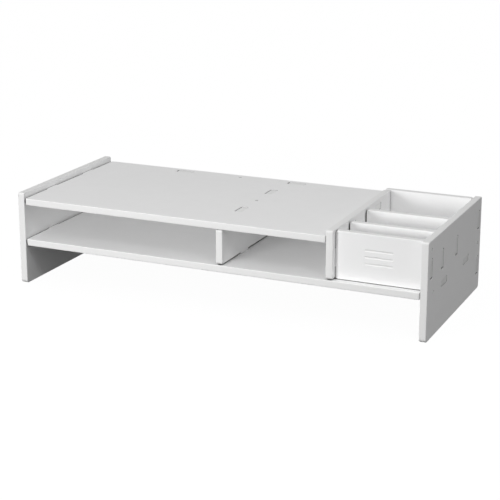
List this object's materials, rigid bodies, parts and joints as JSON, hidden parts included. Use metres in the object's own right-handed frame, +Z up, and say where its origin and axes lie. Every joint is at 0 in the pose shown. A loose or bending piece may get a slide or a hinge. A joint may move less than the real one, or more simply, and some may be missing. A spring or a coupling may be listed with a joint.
{
  "type": "monitor riser",
  "caption": "Flat-pack desk riser for a monitor: a long top on side panels, a shelf with open bays below it, and an open-top pen box with cross dividers at one end",
  "frame": {"origin": "middle of the footprint, on the desk", "axes": "+X to the right along the long side, the pen box at +X; +Y to the closed back; +Z up"},
  "size_m": [0.5, 0.206, 0.1105],
  "materials": {
    "white_board": "satin",
    "nail_steel": "satin"
  },
  "bodies": {
    "root": {"left_side_panel": "white_board", "right_side_panel": "white_board", "top_panel": "white_board", "lower_shelf": "white_board", "middle_divider": "white_board", "box_inner_wall": "white_board", "box_front_panel": "white_board", "box_front_divider": "white_board", "box_rear_divider": "white_board", "back_board": "white_board", "nail_top_back": "nail_steel", "nail_top_divider": "nail_steel", "nail_right_front_panel": "nail_steel", "nail_right_shelf": "nail_steel", "nail_right_back": "nail_steel", "nail_left_top": "nail_steel", "nail_left_shelf": "nail_steel", "nail_left_back": "nail_steel", "nail_under_divider": "nail_steel", "nail_under_wall": "nail_steel", "nail_under_front_panel": "nail_steel", "nail_rear_shelf": "nail_steel", "nail_rear_divider": "nail_steel", "nail_rear_wall": "nail_steel"}
  },
  "joints": []
}
